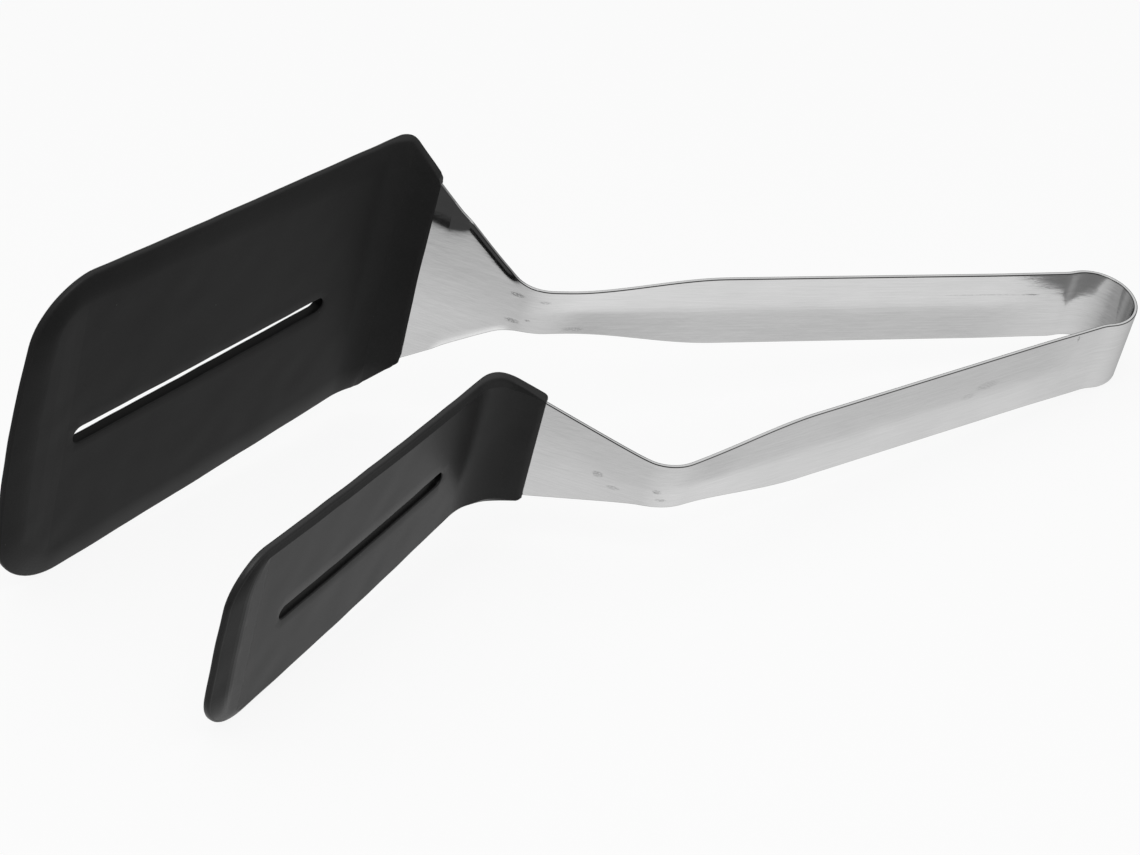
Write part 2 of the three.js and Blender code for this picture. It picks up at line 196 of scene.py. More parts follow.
@dataclass
class Arm:
    """One arm of the strip from the back of the bow to the front of its blade, in millimetres and degrees."""

    body: Body
    side: int
    bow_radius: float
    handle_spread: float
    handle_length: float
    waist_setback: float
    fan_angle: float
    fan_length: float
    fan_flare: float
    fan_start: float
    blade_angle: float
    bend_radius: float
    mouth: float
    shoulder: float
    front: float
    shoulder_width: float
    front_width: float
    shoulder_blend: float
    front_bow: float
    upper_corner: float
    lower_corner: float
    side_bevel: float
    front_bevel: float
    slot_start: float
    slot_length: float
    slot_widths: Flat
    slot_offsets: Flat
    fan_arch: float
    fan_roll: float
    bulge: float
    fillet: float
    bevel_relief: Flat
    softness: float
    gauge: Gauge = Gauge()

    def __post_init__(self) -> None:
        """Lays out the centre line from the back of the bow."""
        g = self.gauge
        spread = self.side * radians(self.handle_spread)
        fan = radians(self.fan_angle)
        blade = radians(self.blade_angle)
        reach = self.bow_radius + g.throat_radius
        shift = self.bow_radius - g.bow_back
        level = g.throat_width / 2 + shift * sin(abs(spread))
        throat = acos(min((level + g.throat_radius) / reach, 1.0))
        neck_run = g.neck_radius * tan(abs(fan - spread) / 2)
        bend_run = self.bend_radius * tan(abs(blade - fan) / 2)
        line = CentreLine((-g.bow_back, 0, self.side * pi / 2))
        line.turn(self.bow_radius, -self.side * (pi / 2 - abs(spread) + throat))
        line.turn(g.throat_radius, self.side * throat)
        self.grip_start = line.length
        line.add(self.handle_length - reach * sin(throat) - shift * cos(spread) - neck_run, 0)
        self.neck_start = line.length
        line.turn(g.neck_radius, fan - spread)
        self.neck_end = line.length
        self.neck = (self.neck_start + self.neck_end) / 2
        self.waist = self.neck - self.waist_setback
        line.add(self.fan_length - neck_run - bend_run, 0)
        self.bend_start = line.length
        line.turn(self.bend_radius, blade - fan)
        self.bend_end = line.length
        line.add(self.neck + self.front + self.front_bow - line.length, 0)
        self.line = line

    def place(self, along: float, up: float, out: float) -> Vector:
        """A point in metres, from a distance along the arm, up its width and out from its middle surface."""
        x, y, heading = self.line.at(along)
        x -= self.side * out * sin(heading)
        y += self.side * out * cos(heading)
        return STRIP @ (Vector((x, y, up)) * MM)

    def steel_half(self, along: float) -> float:
        """Half the steel's width."""
        g = self.gauge
        taper = smooth(along, self.waist - g.waist_taper, self.waist)
        x = along - self.neck - self.fan_start
        flare = self.fan_flare * (x + hypot(x, g.flare_blend)) / 2
        return mixed(g.grip_width, g.waist_width, taper) / 2 + flare * taper

    def rise(self, along: float, share: float) -> float:
        """How far the steel's arch stands out of the line on which the arm is bent.

        Args:
            along: the distance along the arm.
            share: the place across the width, from -1 to 1.

        Returns:
            The distance.
        """
        g = self.gauge
        grip = smooth(along, self.grip_start, self.grip_start + g.grip_width)
        grip *= g.grip_arch * (1 - smooth(along, self.neck - g.grip_fade, self.neck_end))
        roll = self.fan_roll * smooth(along - self.neck_end, *g.roll_start)
        roll *= 1 - smooth(along - self.neck, *g.roll_end)
        roll *= max(1 - self.steel_half(along) * (1 - abs(share)) / g.roll_width, 0) ** g.roll_power
        return grip * (g.arch_middle - ridged(share, g.grip_ridge)) + self.fan_rise(along, share) + roll

    def fan_rise(self, along: float, share: float) -> float:
        """The part of the arch on the fan, which the sleeve follows."""
        width = self.steel_half(along) / self.steel_half(self.neck + self.mouth)
        fan = self.fan_arch * width ** 2 * smooth(along, self.neck_start, self.neck_end)
        fan *= 1 - smooth(along, self.neck + self.mouth, self.bend_start)
        return fan * (0.5 - ridged(min(max(share, -1), 1), self.gauge.fan_ridge))

    def side_half(self, s: float) -> float:
        """The straight side of the blade, as half widths."""
        slope = (self.front_width - self.shoulder_width) / 2 / (self.front - self.shoulder)
        return self.shoulder_width / 2 + slope * (s - self.shoulder)

    def blade_half(self, s: float) -> float:
        """Half the blade's width before its front corners."""
        mouth = self.steel_half(self.neck + self.mouth) + self.gauge.mouth_lip
        slope = (self.shoulder_width / 2 - mouth) / (self.shoulder - self.mouth)
        return soft_min(mouth + slope * (s - self.mouth), self.side_half(s), self.shoulder_blend)


WIDE_ARM = Arm(
    body=Body.WIDE, side=-1, bow_radius=10.75, handle_spread=9.33, handle_length=151.03, waist_setback=8.1,
    fan_angle=-40.45, fan_length=42.71, fan_flare=0.87, fan_start=5.8, blade_angle=23.7, bend_radius=4.5,
    mouth=31.7, shoulder=40.9, front=169.1, shoulder_width=83.2, front_width=100, shoulder_blend=1.3,
    front_bow=4.2, upper_corner=15.6, lower_corner=19, side_bevel=8.6, front_bevel=8.2,
    slot_start=64.7, slot_length=87.8, slot_widths=(4.5, 5.2), slot_offsets=(-2.7, -3.4), fan_arch=-1.2,
    fan_roll=0.8, bulge=-0.28, fillet=14, bevel_relief=(0.3, 0.8), softness=1.0,
)
NARROW_ARM = Arm(
    body=Body.NARROW, side=1, bow_radius=11.1, handle_spread=9.68, handle_length=145.9, waist_setback=1.7,
    fan_angle=-37, fan_length=48.45, fan_flare=0.3, fan_start=5.35, blade_angle=32.4, bend_radius=8,
    mouth=34.6, shoulder=47.15, front=158.15, shoulder_width=43.2, front_width=56.3, shoulder_blend=0.6,
    front_bow=1.1, upper_corner=12.2, lower_corner=14, side_bevel=2, front_bevel=8.7,
    slot_start=67.15, slot_length=68.9, slot_widths=(4.1, 4.1), slot_offsets=(-0.2, -0.2), fan_arch=0.5,
    fan_roll=0.0, bulge=0.64, fillet=13, bevel_relief=(0.0, 2.4), softness=0.0,
)


class Draft:
    """A mesh in the making: points with the place on the flat strip that each one comes from."""

    def __init__(self) -> None:
        """Starts an empty mesh."""
        self.points: list[Vector] = []
        self.lays: list[Triple] = []
        self.rims: list[float] = []
        self.reliefs: list[float] = []
        self.faces: list[tuple[int, ...]] = []
        self.creases: set[frozenset[int]] = set()

    def add(self, point: Vector, lay: Triple, rim: float, relief: float = 0.0) -> int:
        """Adds a point.

        Args:
            point: the place in metres.
            lay: the place on the flat strip, in millimetres: along, up and out.
            rim: the distance from the piece's rim, in millimetres.
            relief: a height that only the shading shows, in millimetres.

        Returns:
            The point's number.
        """
        self.points.append(point)
        self.lays.append(lay)
        self.rims.append(rim)
        self.reliefs.append(relief)
        return len(self.points) - 1

    def bridge(self, a: list[int], b: list[int], closed: bool) -> None:
        """Joins two rows of points with quads.

        Args:
            a: the first row.
            b: the second row, of the same length.
            closed: whether the rows are loops.
        """
        count = len(a)
        for i in range(count if closed else count - 1):
            j = (i + 1) % count
            self.faces.append((a[i], a[j], b[j], b[i]))

    def crease(self, row: list[int]) -> None:
        """Marks the edges between neighbouring points of a row as sharp."""
        self.creases.update(frozenset(pair) for pair in zip(row, row[1:]))

    def make(self, name: str, material: bpy.types.Material) -> bpy.types.Object:
        """Turns the draft into an object with smooth faces.

        Args:
            name: the piece's name.
            material: its finish.

        Returns:
            The new object, linked to the scene.
        """
        mesh = bpy.data.meshes.new(name)
        mesh.from_pydata(self.points, [], self.faces)
        mesh.validate()
        lay = mesh.attributes.new("lay", "FLOAT_VECTOR", "POINT")
        lay.data.foreach_set("vector", [value for place in self.lays for value in place])
        for detail, values in (("rim", self.rims), ("relief", self.reliefs)):
            mesh.attributes.new(detail, "FLOAT", "POINT").data.foreach_set("value", values)
        mesh.polygons.foreach_set("use_smooth", [True] * len(mesh.polygons))
        for edge in mesh.edges:
            edge.use_edge_sharp = frozenset(edge.vertices) in self.creases
        mesh.materials.append(material)
        face_outwards(mesh)
        return placed(name, mesh)


def face_outwards(mesh: bpy.types.Mesh) -> None:
    """Turns every face of a closed mesh so that it looks outwards."""
    work = bmesh.new()
    work.from_mesh(mesh)
    bmesh.ops.recalc_face_normals(work, faces=work.faces)
    work.to_mesh(mesh)
    work.free()


def grey(value: float) -> tuple[float, float, float, float]:
    """A neutral colour."""
    return (value, value, value, 1.0)


class Wire:
    """A value in a node tree: a socket on which Python expressions add nodes."""

    def __init__(self, board: "NodeBoard", socket: bpy.types.NodeSocket) -> None:
        """Wraps a node's output."""
        self.board = board
        self.socket = socket

    def maths(self, operation: str, *values: "Wire | float") -> "Wire":
        """Adds a Math node."""
        return self.board.node("ShaderNodeMath", {"operation": operation}, dict(enumerate(values)))

    def __add__(self, other: "Wire | float") -> "Wire":
        """self + other."""
        return self.maths("ADD", self, other)

    __radd__ = __add__

    def __sub__(self, other: "Wire | float") -> "Wire":
        """self - other."""
        return self.maths("SUBTRACT", self, other)

    def __rsub__(self, other: float) -> "Wire":
        """other - self."""
        return self.maths("SUBTRACT", other, self)

    def __mul__(self, other: "Wire | float") -> "Wire":
        """self * other."""
        return self.maths("MULTIPLY", self, other)

    __rmul__ = __mul__

    def __abs__(self) -> "Wire":
        """abs(self)."""
        return self.maths("ABSOLUTE", self)

    def step(self, start: float, end: float) -> "Wire":
        """A soft step from 0 at start to 1 at end."""
        settings = {"interpolation_type": "SMOOTHSTEP"}
        return self.board.node("ShaderNodeMapRange", settings, {"Value": self, "From Min": start, "From Max": end})

    def slide(self, start: float, end: float, low: float, high: float) -> "Wire":
        """A straight run from low at start to high at end, and level beyond them."""
        ends = {"From Min": start, "From Max": end, "To Min": low, "To Max": high}
        return self.board.node("ShaderNodeMapRange", {}, {"Value": self, **ends})

    def rising(self, blend: float) -> "Wire":
        """Twice the value above 0 and nothing below it, with a soft turn between them."""
        return self + self.maths("POWER", self * self + blend, 0.5)


class NodeBoard:
    """A node tree under construction."""

    def __init__(self, tree: bpy.types.NodeTree) -> None:
        """Starts with the tree that Blender made."""
        self.tree = tree

    def node(self, kind: str, settings: dict, inputs: dict, output: int | str = 0) -> Wire:
        """Adds any node.

        Args:
            kind: the node's type.
            settings: its own settings, set first; "stops" fills a colour ramp with (place, grey) pairs.
            inputs: values or wires for its sockets, by name or number.
            output: the socket that comes back.

        Returns:
            The wrapped output.
        """
        made = self.tree.nodes.new(kind)
        for name, value in settings.items():
            if name == "stops":
                self.fill_ramp(made.color_ramp, value)
            else:
                setattr(made, name, value)
        for key, value in inputs.items():
            if isinstance(value, Wire):
                self.tree.links.new(value.socket, made.inputs[key])
            else:
                made.inputs[key].default_value = value
        return Wire(self, made.outputs[output])

    @staticmethod
    def fill_ramp(ramp: bpy.types.ColorRamp, stops: list[Flat]) -> None:
        """Sets a ramp's stops from (place, grey) pairs."""
        while len(ramp.elements) < len(stops):
            ramp.elements.new(1.0)
        for element, (place, level) in zip(ramp.elements, stops):
            element.position = place
            element.color = grey(level)

    def vector(self, operation: str, *values: Wire | Triple, output: int | str = 0) -> Wire:
        """Adds a Vector Math node."""
        return self.node("ShaderNodeVectorMath", {"operation": operation}, dict(enumerate(values)), output)

    def split(self, place: Wire, axis: str) -> Wire:
        """One coordinate of a place."""
        return self.node("ShaderNodeSeparateXYZ", {}, {"Vector": place}, axis)

    def blended(self, amount: Wire, a: Wire | tuple, b: Wire | tuple) -> Wire:
        """A colour between two colours."""
        settings = {"data_type": "RGBA", "clamp_factor": True}
        return self.node("ShaderNodeMix", settings, {0: amount, 6: a, 7: b}, 2)

    def light_path(self, output: str) -> Wire:
        """What kind of ray asks, or how often it has bounced."""
        return self.node("ShaderNodeLightPath", {}, {}, output)

    def surface(self, shader: Wire) -> None:
        """Makes a shader the one that the tree puts out."""
        output = next(node for node in self.tree.nodes if node.bl_idname.startswith("ShaderNodeOutput"))
        self.tree.links.new(shader.socket, output.inputs["Surface"])


@dataclass(frozen=True)
class Cloud:
    """A noise on the flat strip: its scale for each millimetre, detail, roughness and stretch."""

    scale: float
    detail: float = 2.0
    roughness: float = 0.5
    stretch: Triple = (1.0, 1.0, 1.0)


class Paint(NodeBoard):
    """A material under construction, with one principled shader."""

    def __init__(self, name: str, **constants: float | tuple[float, ...]) -> None:
        """Starts a material.

        Args:
            name: the material's name.
            constants: values of the shader's own sockets, with _ for a space.
        """
        self.material = bpy.data.materials.new(name)
        self.material.use_nodes = True
        super().__init__(self.material.node_tree)
        self.shader = self.tree.nodes["Principled BSDF"]
        for socket, value in constants.items():
            self.shader.inputs[socket.replace("_", " ")].default_value = value

    def drafted(self, detail: str, output: str = "Fac") -> Wire:
        """What the draft says about each point: its lay as a "Vector", its rim or its relief."""
        return self.node("ShaderNodeAttribute", {"attribute_name": detail}, {}, output)

    def cloudy(self, lay: Wire, cloud: Cloud) -> Wire:
        """Noise around 0.5."""
        values = {"Scale": cloud.scale, "Detail": cloud.detail, "Roughness": cloud.roughness}
        values["Vector"] = self.vector("MULTIPLY", lay, cloud.stretch)
        return self.node("ShaderNodeTexNoise", {}, values, "Fac")

    def bump(self, height: Wire, strength: float, distance: float, **below: Wire) -> Wire:
        """A bump from a height, whose unit is the distance in metres, over the Normal of a bump below it."""
        values = {"Height": height, "Strength": strength, "Distance": distance, **below}
        return self.node("ShaderNodeBump", {}, values, "Normal")

    def feed(self, **wires: Wire) -> bpy.types.Material:
        """Links wires to the shader's sockets, with _ for a space, and gives the material back."""
        for socket, wire in wires.items():
            self.tree.links.new(wire.socket, self.shader.inputs[socket.replace("_", " ")])
        return self.material


@dataclass(frozen=True)
class ToolMark:
    """A scuff that the press or the years left on the steel, by its place on the flat strip in millimetres."""

    along: float
    up: float
    length: float
    height: float
    strength: float


@dataclass(frozen=True)
class TurnedCorner:
    """The wide fan's upper corner, which turns away where the steel enters the sleeve, in millimetres."""

    start: float = 22.5
    middle: float = 27.0
    up: float = 17.2
    start_slope: float = 0.8
    start_blend: float = 1.0
    side_slope: float = 0.2
    blend: float = 2.0
    fall: float = -0.17

    def height(self, paint: Paint, lay: Wire) -> Wire:
        """The corner's height, for the shading alone.

        Args:
            paint: the material.
            lay: the place on the flat strip.

        Returns:
            The height in millimetres.
        """
        s = -1 * paint.split(lay, "X") - WIDE_ARM.neck
        edge = abs(s - self.middle) * self.side_slope
        edge += (self.start - s).rising(self.start_blend) * self.start_slope + self.up
        return (paint.split(lay, "Y") - edge).rising(self.blend) * self.fall


@dataclass(frozen=True)
class SatinSteel:
    """Stainless strip with a satin grain along its length, cloudy where it was pressed, a few scuffs, and sheared
    edges that are partly burr and partly painted dark reflection.
    """

    grain: Cloud = Cloud(1.0, 3.0, 0.6, (0.05, 5.0, 5.0))
    fine: Cloud = Cloud(1.0, 2.0, 0.5, (0.12, 14.0, 14.0))
    handled: Cloud = Cloud(0.06, 3.0)
    pressed: Cloud = Cloud(0.25, 3.0, 0.6, (0.5, 1.0, 0.0))
    crumbs: Cloud = Cloud(1.6, 3.0, 0.7, (1.0, 2.2, 0.0))
    crumb_steps: Flat = (0.42, 0.56)
    mark_steps: Flat = (0.45, 1.0)
    light: float = 0.86
    dark: float = 0.74
    tones: Triple = (0.45, 0.3, 0.25)  # of grain, fine and handled
    tone_steps: Flat = (0.3, 0.7)
    scuff_grey: float = 0.3
    scuff_shown: float = 0.75
    # Sheared edges: partly the burr's own grey, partly a painted dark reflection, darkest on their two corners.
    burr_and_painted_reflection_grey: float = 0.12
    burr_and_painted_reflection_corners: float = 0.55
    burr_and_painted_reflection_corner_steps: Flat = (0.0, 0.06)
    burr_and_painted_reflection_edge: float = 0.3
    burr_and_painted_reflection_edge_steps: Flat = (0.2, 0.34)
    roughness: float = 0.12
    uneven: Triple = (0.1, 0.08, 0.2)  # by grain, handled and scuffs
    grain_height: float = 0.000006
    grain_strength: float = 0.5
    dent_height: float = 0.00002
    dent_shares: Flat = (3.0, 0.6)  # of pressed and scuffs
    corner: TurnedCorner = TurnedCorner()
    marks: tuple[ToolMark, ...] = (
        ToolMark(-173.4, 4.1, 2.6, 0.8, 0.9), ToolMark(-166.0, 3.5, 1.9, 0.6, 0.6),
        ToolMark(-173.2, -4.5, 2.6, 0.9, 0.8), ToolMark(-169.4, -3.2, 1.0, 0.5, 0.7),
        ToolMark(-157.0, -5.4, 4.0, 0.8, 0.4), ToolMark(180.2, -1.2, 1.8, 1.2, 0.7),
        ToolMark(175.6, -4.1, 2.2, 0.8, 0.5), ToolMark(164.9, -1.7, 1.4, 0.8, 0.8),
        ToolMark(163.4, -4.3, 1.8, 0.6, 0.6), ToolMark(30.0, 9.4, 0.5, 1.3, 0.9),
        ToolMark(-29.0, 3.86, 3.2, 0.3, 0.9), ToolMark(-43.0, 3.8, 15.0, 0.28, 0.5),
        ToolMark(60.0, 3.0, 5.0, 1.6, 0.35), ToolMark(66.0, 1.0, 3.0, 1.2, 0.3),
    )

    def scuffs(self, paint: Paint, lay: Wire) -> Wire:
        """How strongly each place is scuffed, from 0 to 1.

        Args:
            paint: the material.
            lay: the place on the flat strip.

        Returns:
            The strength.
        """
        crumbs = paint.cloudy(lay, self.crumbs).step(*self.crumb_steps)
        total = 0.0
        for mark in self.marks:
            offset = paint.vector("SUBTRACT", lay, (mark.along, mark.up, 0.0))
            scaled = paint.vector("MULTIPLY", offset, (1 / mark.length, 1 / mark.height, 0.0))
            reach = paint.vector("LENGTH", scaled, output="Value")
            total += (1 - reach.step(*self.mark_steps)) * mark.strength
        return total * crumbs

    def burr_and_painted_reflection(self, paint: Paint) -> Wire:
        """How dark the strip's sheared edges are, from 0 to 1, with the most on their two corners: partly the
        burr's own grey and partly a painted dark reflection.
        """
        rim = paint.drafted("rim")
        return (rim.step(*self.burr_and_painted_reflection_corner_steps) * self.burr_and_painted_reflection_corners + self.burr_and_painted_reflection_edge) * (1 - rim.step(*self.burr_and_painted_reflection_edge_steps))

    def make(self) -> bpy.types.Material:
        """Builds the material."""
        paint = Paint("satin_steel", Metallic=1.0)
        lay = paint.drafted("lay", "Vector")
        clouds = (self.grain, self.fine, self.handled, self.pressed)
        grain, fine, handled, pressed = (paint.cloudy(lay, cloud) for cloud in clouds)
        scuff = self.scuffs(paint, lay)
        tone = grain * self.tones[0] + fine * self.tones[1] + handled * self.tones[2]
        tone = tone.step(*self.tone_steps)
        colour = paint.blended(tone, grey(self.dark), grey(self.light))
        colour = paint.blended(scuff * self.scuff_shown, colour, grey(self.scuff_grey))
        # Painted dark reflection on the sheared edges, over the burr's own grey, most on their two corners.
        colour = paint.blended(self.burr_and_painted_reflection(paint), colour, grey(self.burr_and_painted_reflection_grey))
        by_grain, by_hand, by_scuff = self.uneven
        roughness = self.roughness + (grain - 0.5) * by_grain + (handled - 0.5) * by_hand + scuff * by_scuff
        corner = paint.bump(self.corner.height(paint, lay), 1.0, MM)
        dent = pressed * self.dent_shares[0] - scuff * self.dent_shares[1]
        dents = paint.bump(dent, 1.0, self.dent_height, Normal=corner)
        normal = paint.bump(fine + grain, self.grain_strength, self.grain_height, Normal=dents)
        return paint.feed(Base_Color=colour, Roughness=roughness, Normal=normal)


@dataclass(frozen=True)
class MouldedSilicone:
    """Charcoal silicone straight from the mould: matt, faintly cloudy, a little dusty, with painted shade on its
    slot walls.
    """

    name: str
    index: float = 1.265
    roughness: float = 0.32
    uneven: Flat = (0.08, 0.06)  # by flow and skin
    colour: float = 0.026
    contrast: float = 0.15
    flow: Cloud = Cloud(0.035, 3.0)
    skin: Cloud = Cloud(2.2)
    tones: Flat = (0.6, 0.4)  # of flow and skin
    tone_steps: Flat = (0.25, 0.75)
    skin_height: float = 0.00002
    skin_strength: float = 0.35
    dust_cells: float = 0.16
    dust_size: Flat = (0.012, 0.03)
    dust_patches: Cloud = Cloud(0.9, 1.0)
    patch_steps: Flat = (0.5, 0.6)
    dust_grey: float = 0.16
    dust_shown: float = 0.8
    # Painted shade: a near-black grey on the slot walls.
    slot_shade_grey: float = 0.001
    slot_shade_shown: float = 0.85

    def make(self) -> bpy.types.Material:
        """Builds the material."""
        paint = Paint(self.name, IOR=self.index)
        lay = paint.drafted("lay", "Vector")
        flow = paint.cloudy(lay, self.flow)
        skin = paint.cloudy(lay, self.skin)
        dust = paint.node("ShaderNodeTexVoronoi", {}, {"Vector": lay, "Scale": self.dust_cells}, "Distance")
        patches = paint.cloudy(lay, self.dust_patches).step(*self.patch_steps)
        speck = (1 - dust.step(*self.dust_size)) * patches
        tone = (flow * self.tones[0] + skin * self.tones[1]).step(*self.tone_steps)
        dark, light = (grey(self.colour * (1 + change)) for change in (-self.contrast, self.contrast))
        colour = paint.blended(tone, dark, light)
        colour = paint.blended(speck * self.dust_shown, colour, grey(self.dust_grey))
        # Painted shade: the slot walls are darkened in the colour.
        slot_wall_shade = 1 - paint.drafted("rim").step(SLOT_WALL, 0.0)
        colour = paint.blended(slot_wall_shade * self.slot_shade_shown, colour, grey(self.slot_shade_grey))
        roughness = self.roughness + (flow - 0.5) * self.uneven[0] + (skin - 0.5) * self.uneven[1]
        bevel = paint.bump(paint.drafted("relief"), 1.0, MM)
        normal = paint.bump(skin, self.skin_strength, self.skin_height, Normal=bevel)
        return paint.feed(Base_Color=colour, Roughness=roughness, Normal=normal)


@dataclass
class SteelStrip:
    """The one bent strip: bow, handles, necks and fans, with its ends inside the blades."""

    finish: SatinSteel
    bow_step: float = 0.5
    grip_step: float = 2.0
    neck_step: float = 0.6
    buried: float = 14.0
    buried_margin: float = 0.6
    bend_reach: float = 9.0
    bend_turn: float = 5.0
    corner_angles: tuple[float, ...] = (22, 45, 68, 90)
    columns: tuple[float, ...] = (1.0, 0.985, 0.95, 0.88, 0.78, 0.66, 0.54, 0.42, 0.3, 0.2, 0.1)

    def section(self, arm: Arm, along: float, half: float) -> list[Flat]:
        """Up and out round the steel: down its outer face and back up its inner face.

        Args:
            arm: the arm.
            along: the distance along it.
            half: half the width.

        Returns:
            (up, out) pairs.
        """
        r = arm.gauge.steel_rounding
        thick = arm.gauge.steel / 2
        reach = half - r
        columns = [*self.columns, 0.0, *(-column for column in reversed(self.columns))]
        rise = [arm.rise(along, column * reach / half) for column in columns]
        ups = [column * reach for column in columns]
        outer = [(up, high + thick) for up, high in zip(ups, rise)]
        inner = [(up, high - thick) for up, high in zip(ups, rise)]
        turns = [(r * sin(a), r * cos(a) + thick - r) for a in map(radians, self.corner_angles)]
        foot = [(-reach - aside, rise[0] + out) for aside, out in turns]
        foot += [(-reach - aside, rise[0] - out) for aside, out in reversed(turns)]
        head = [(-up, out) for up, out in reversed(foot)]
        return outer + foot + inner[::-1] + head

    def stations(self, arm: Arm) -> list[float]:
        """Distances along one arm for the strip's sections, from the back of the bow into the blade."""
        ends = (0, arm.grip_start, arm.neck_start, arm.neck_end, arm.neck + arm.mouth, arm.bend_end)
        steps = (self.bow_step, self.grip_step, self.neck_step, self.neck_step, self.neck_step)
        runs = [stepped(*run) for run in zip(ends, ends[1:], steps)]
        runs.append([arm.bend_end + self.buried])
        return sorted({round(s, 6) for run in runs for s in run})

    def build(self) -> bpy.types.Object:
        """Lofts the strip from the wide blade round the bow to the narrow blade."""
        draft = Draft()
        rings = []
        stations = [(WIDE_ARM, along) for along in reversed(self.stations(WIDE_ARM))]
        stations += [(NARROW_ARM, along) for along in self.stations(NARROW_ARM)[1:]]
        for arm, along in stations:
            half = min(arm.steel_half(along), self.buried_half(arm, along))
            rings.append([
                draft.add(arm.place(along, up, out), (arm.side * along, up, out), half - abs(up))
                for up, out in self.section(arm, along, half)
            ])
        for a, b in zip(rings, rings[1:]):
            draft.bridge(a, b, closed=True)
        draft.faces.append(tuple(rings[0]))
        draft.faces.append(tuple(rings[-1]))
        return draft.make("steel_strip", self.finish.make())

    def buried_half(self, arm: Arm, along: float) -> float:
        """The most that half the steel may be: what fits between the blade's bevels, past its mouth."""
        s = along - arm.neck
        if s < arm.mouth:
            return inf
        return arm.side_half(max(s, arm.shoulder)) - arm.side_bevel - self.buried_margin

    def dress(self) -> None:
        """Builds the strip, bakes its place into its mesh and hides the imported bow and arms."""
        strip = self.build()
        turn = radians(self.bend_turn)
        across = STRIP.to_3x3() @ Vector((sin(turn), cos(turn), 0)) * self.bend_reach * MM
        middle = STRIP.translation
        middle - across
        middle + across
        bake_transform(strip)
        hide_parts("spring_bow", "wide_arm", "narrow_arm")
        LOG.info("steel_strip: %d faces", len(strip.data.polygons))


